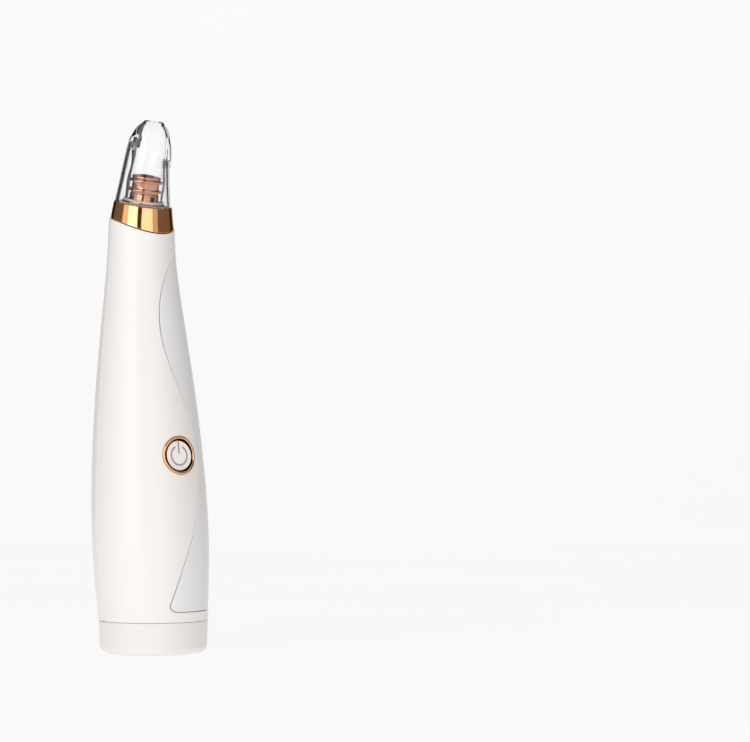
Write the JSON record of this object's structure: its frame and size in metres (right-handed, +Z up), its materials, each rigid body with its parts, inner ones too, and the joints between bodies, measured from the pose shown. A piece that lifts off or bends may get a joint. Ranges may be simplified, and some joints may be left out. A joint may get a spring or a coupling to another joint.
{
  "type": "blackhead vacuum extractor",
  "caption": "Pen-shaped battery suction device for pore cleaning: leaning barrel, pull-off clear tip over a ribbed nozzle, plated collar, power button.",
  "frame": {"origin": "centre of the foot's flat underside, on the barrel's foot axis", "axes": "+Z up through the foot; the power button faces -Y and the head leans towards -Y; +X is the side with the inset panel"},
  "size_m": [0.0394, 0.0406, 0.1805],
  "materials": {
    "clear_tip": "clear, glossy",
    "copper_plate": "polished rose-gold plate",
    "gold_plate": "polished warm gold plate",
    "white_gloss": "warm white gloss",
    "panel_satin": "cool white satin",
    "foot_satin": "creamy white satin",
    "button_white": "white gloss",
    "icon_ink": "taupe print",
    "sponge": "open-cell foam",
    "silicone": "translucent silicone",
    "inner_plastic": "moulded, matte",
    "pump_plastic": "glass-filled nylon, black",
    "pump_rubber": "moulded rubber",
    "steel": "plated steel",
    "magnet": "sintered ferrite",
    "bronze": "sintered bronze",
    "armature": "laminated steel and enamelled wire",
    "cell_wrap": "shrink sleeve",
    "board": "solder mask",
    "chips": "moulded epoxy",
    "leads": "silicone insulated wire"
  },
  "bodies": {
    "housing": {"suction_nozzle": "copper_plate", "filter_sponge": "sponge", "tip_seal": "silicone", "nozzle_holder": "inner_plastic", "collar_ring": "gold_plate", "front_shell": "white_gloss", "rear_shell": "white_gloss", "side_panel": "panel_satin", "button_bezel": "gold_plate", "base_cap": "foot_satin", "base_screws": "steel", "chassis": "inner_plastic", "board_screws": "steel", "battery_cell": "cell_wrap", "main_board": "board", "board_chips": "chips", "usb_socket": "steel", "switch_body": "chips", "motor_can": "steel", "motor_end_cap": "inner_plastic", "motor_bushes": "bronze", "motor_magnets": "magnet", "motor_terminals": "bronze", "motor_cushion": "pump_rubber", "pump_frame": "pump_plastic", "wobble_plate": "inner_plastic", "pump_diaphragm": "pump_rubber", "valve_plate": "pump_plastic", "valve_flaps": "silicone", "pump_cover": "pump_plastic", "pump_screws": "steel", "muffler_foam": "sponge", "suction_hose": "silicone", "motor_leads": "leads", "battery_leads": "leads"},
    "tip": {"suction_tip": "clear_tip"},
    "button": {"power_button": "button_white", "button_icon": "icon_ink"},
    "plunger": {"switch_plunger": "pump_plastic"},
    "rotor": {"motor_shaft": "steel", "motor_armature": "armature", "eccentric_cam": "inner_plastic"}
  },
  "joints": [
    {"name": "tip_pull", "type": "slide", "parent": "housing", "child": "tip", "axis": [0, -0.225, 0.9744], "range_m": [0, 0.03]},
    {"name": "power_press", "type": "slide", "parent": "housing", "child": "button", "axis": [0, 0.991, -0.134], "range_m": [0, 0.0003], "stiffness_N_per_m": 300, "springref_m": -0.002},
    {"name": "plunger_press", "type": "slide", "parent": "housing", "child": "plunger", "axis": [0, 1, 0], "range_m": [0, 0.0003]},
    {"name": "rotor_spin", "type": "hinge", "parent": "housing", "child": "rotor", "pos_m": [0, 0.0063, 0.08], "axis": [0, 0, 1], "continuous": true}
  ],
  "couplings": [
    {"joint": "plunger_press", "follows": "power_press", "ratio": 1}
  ]
}
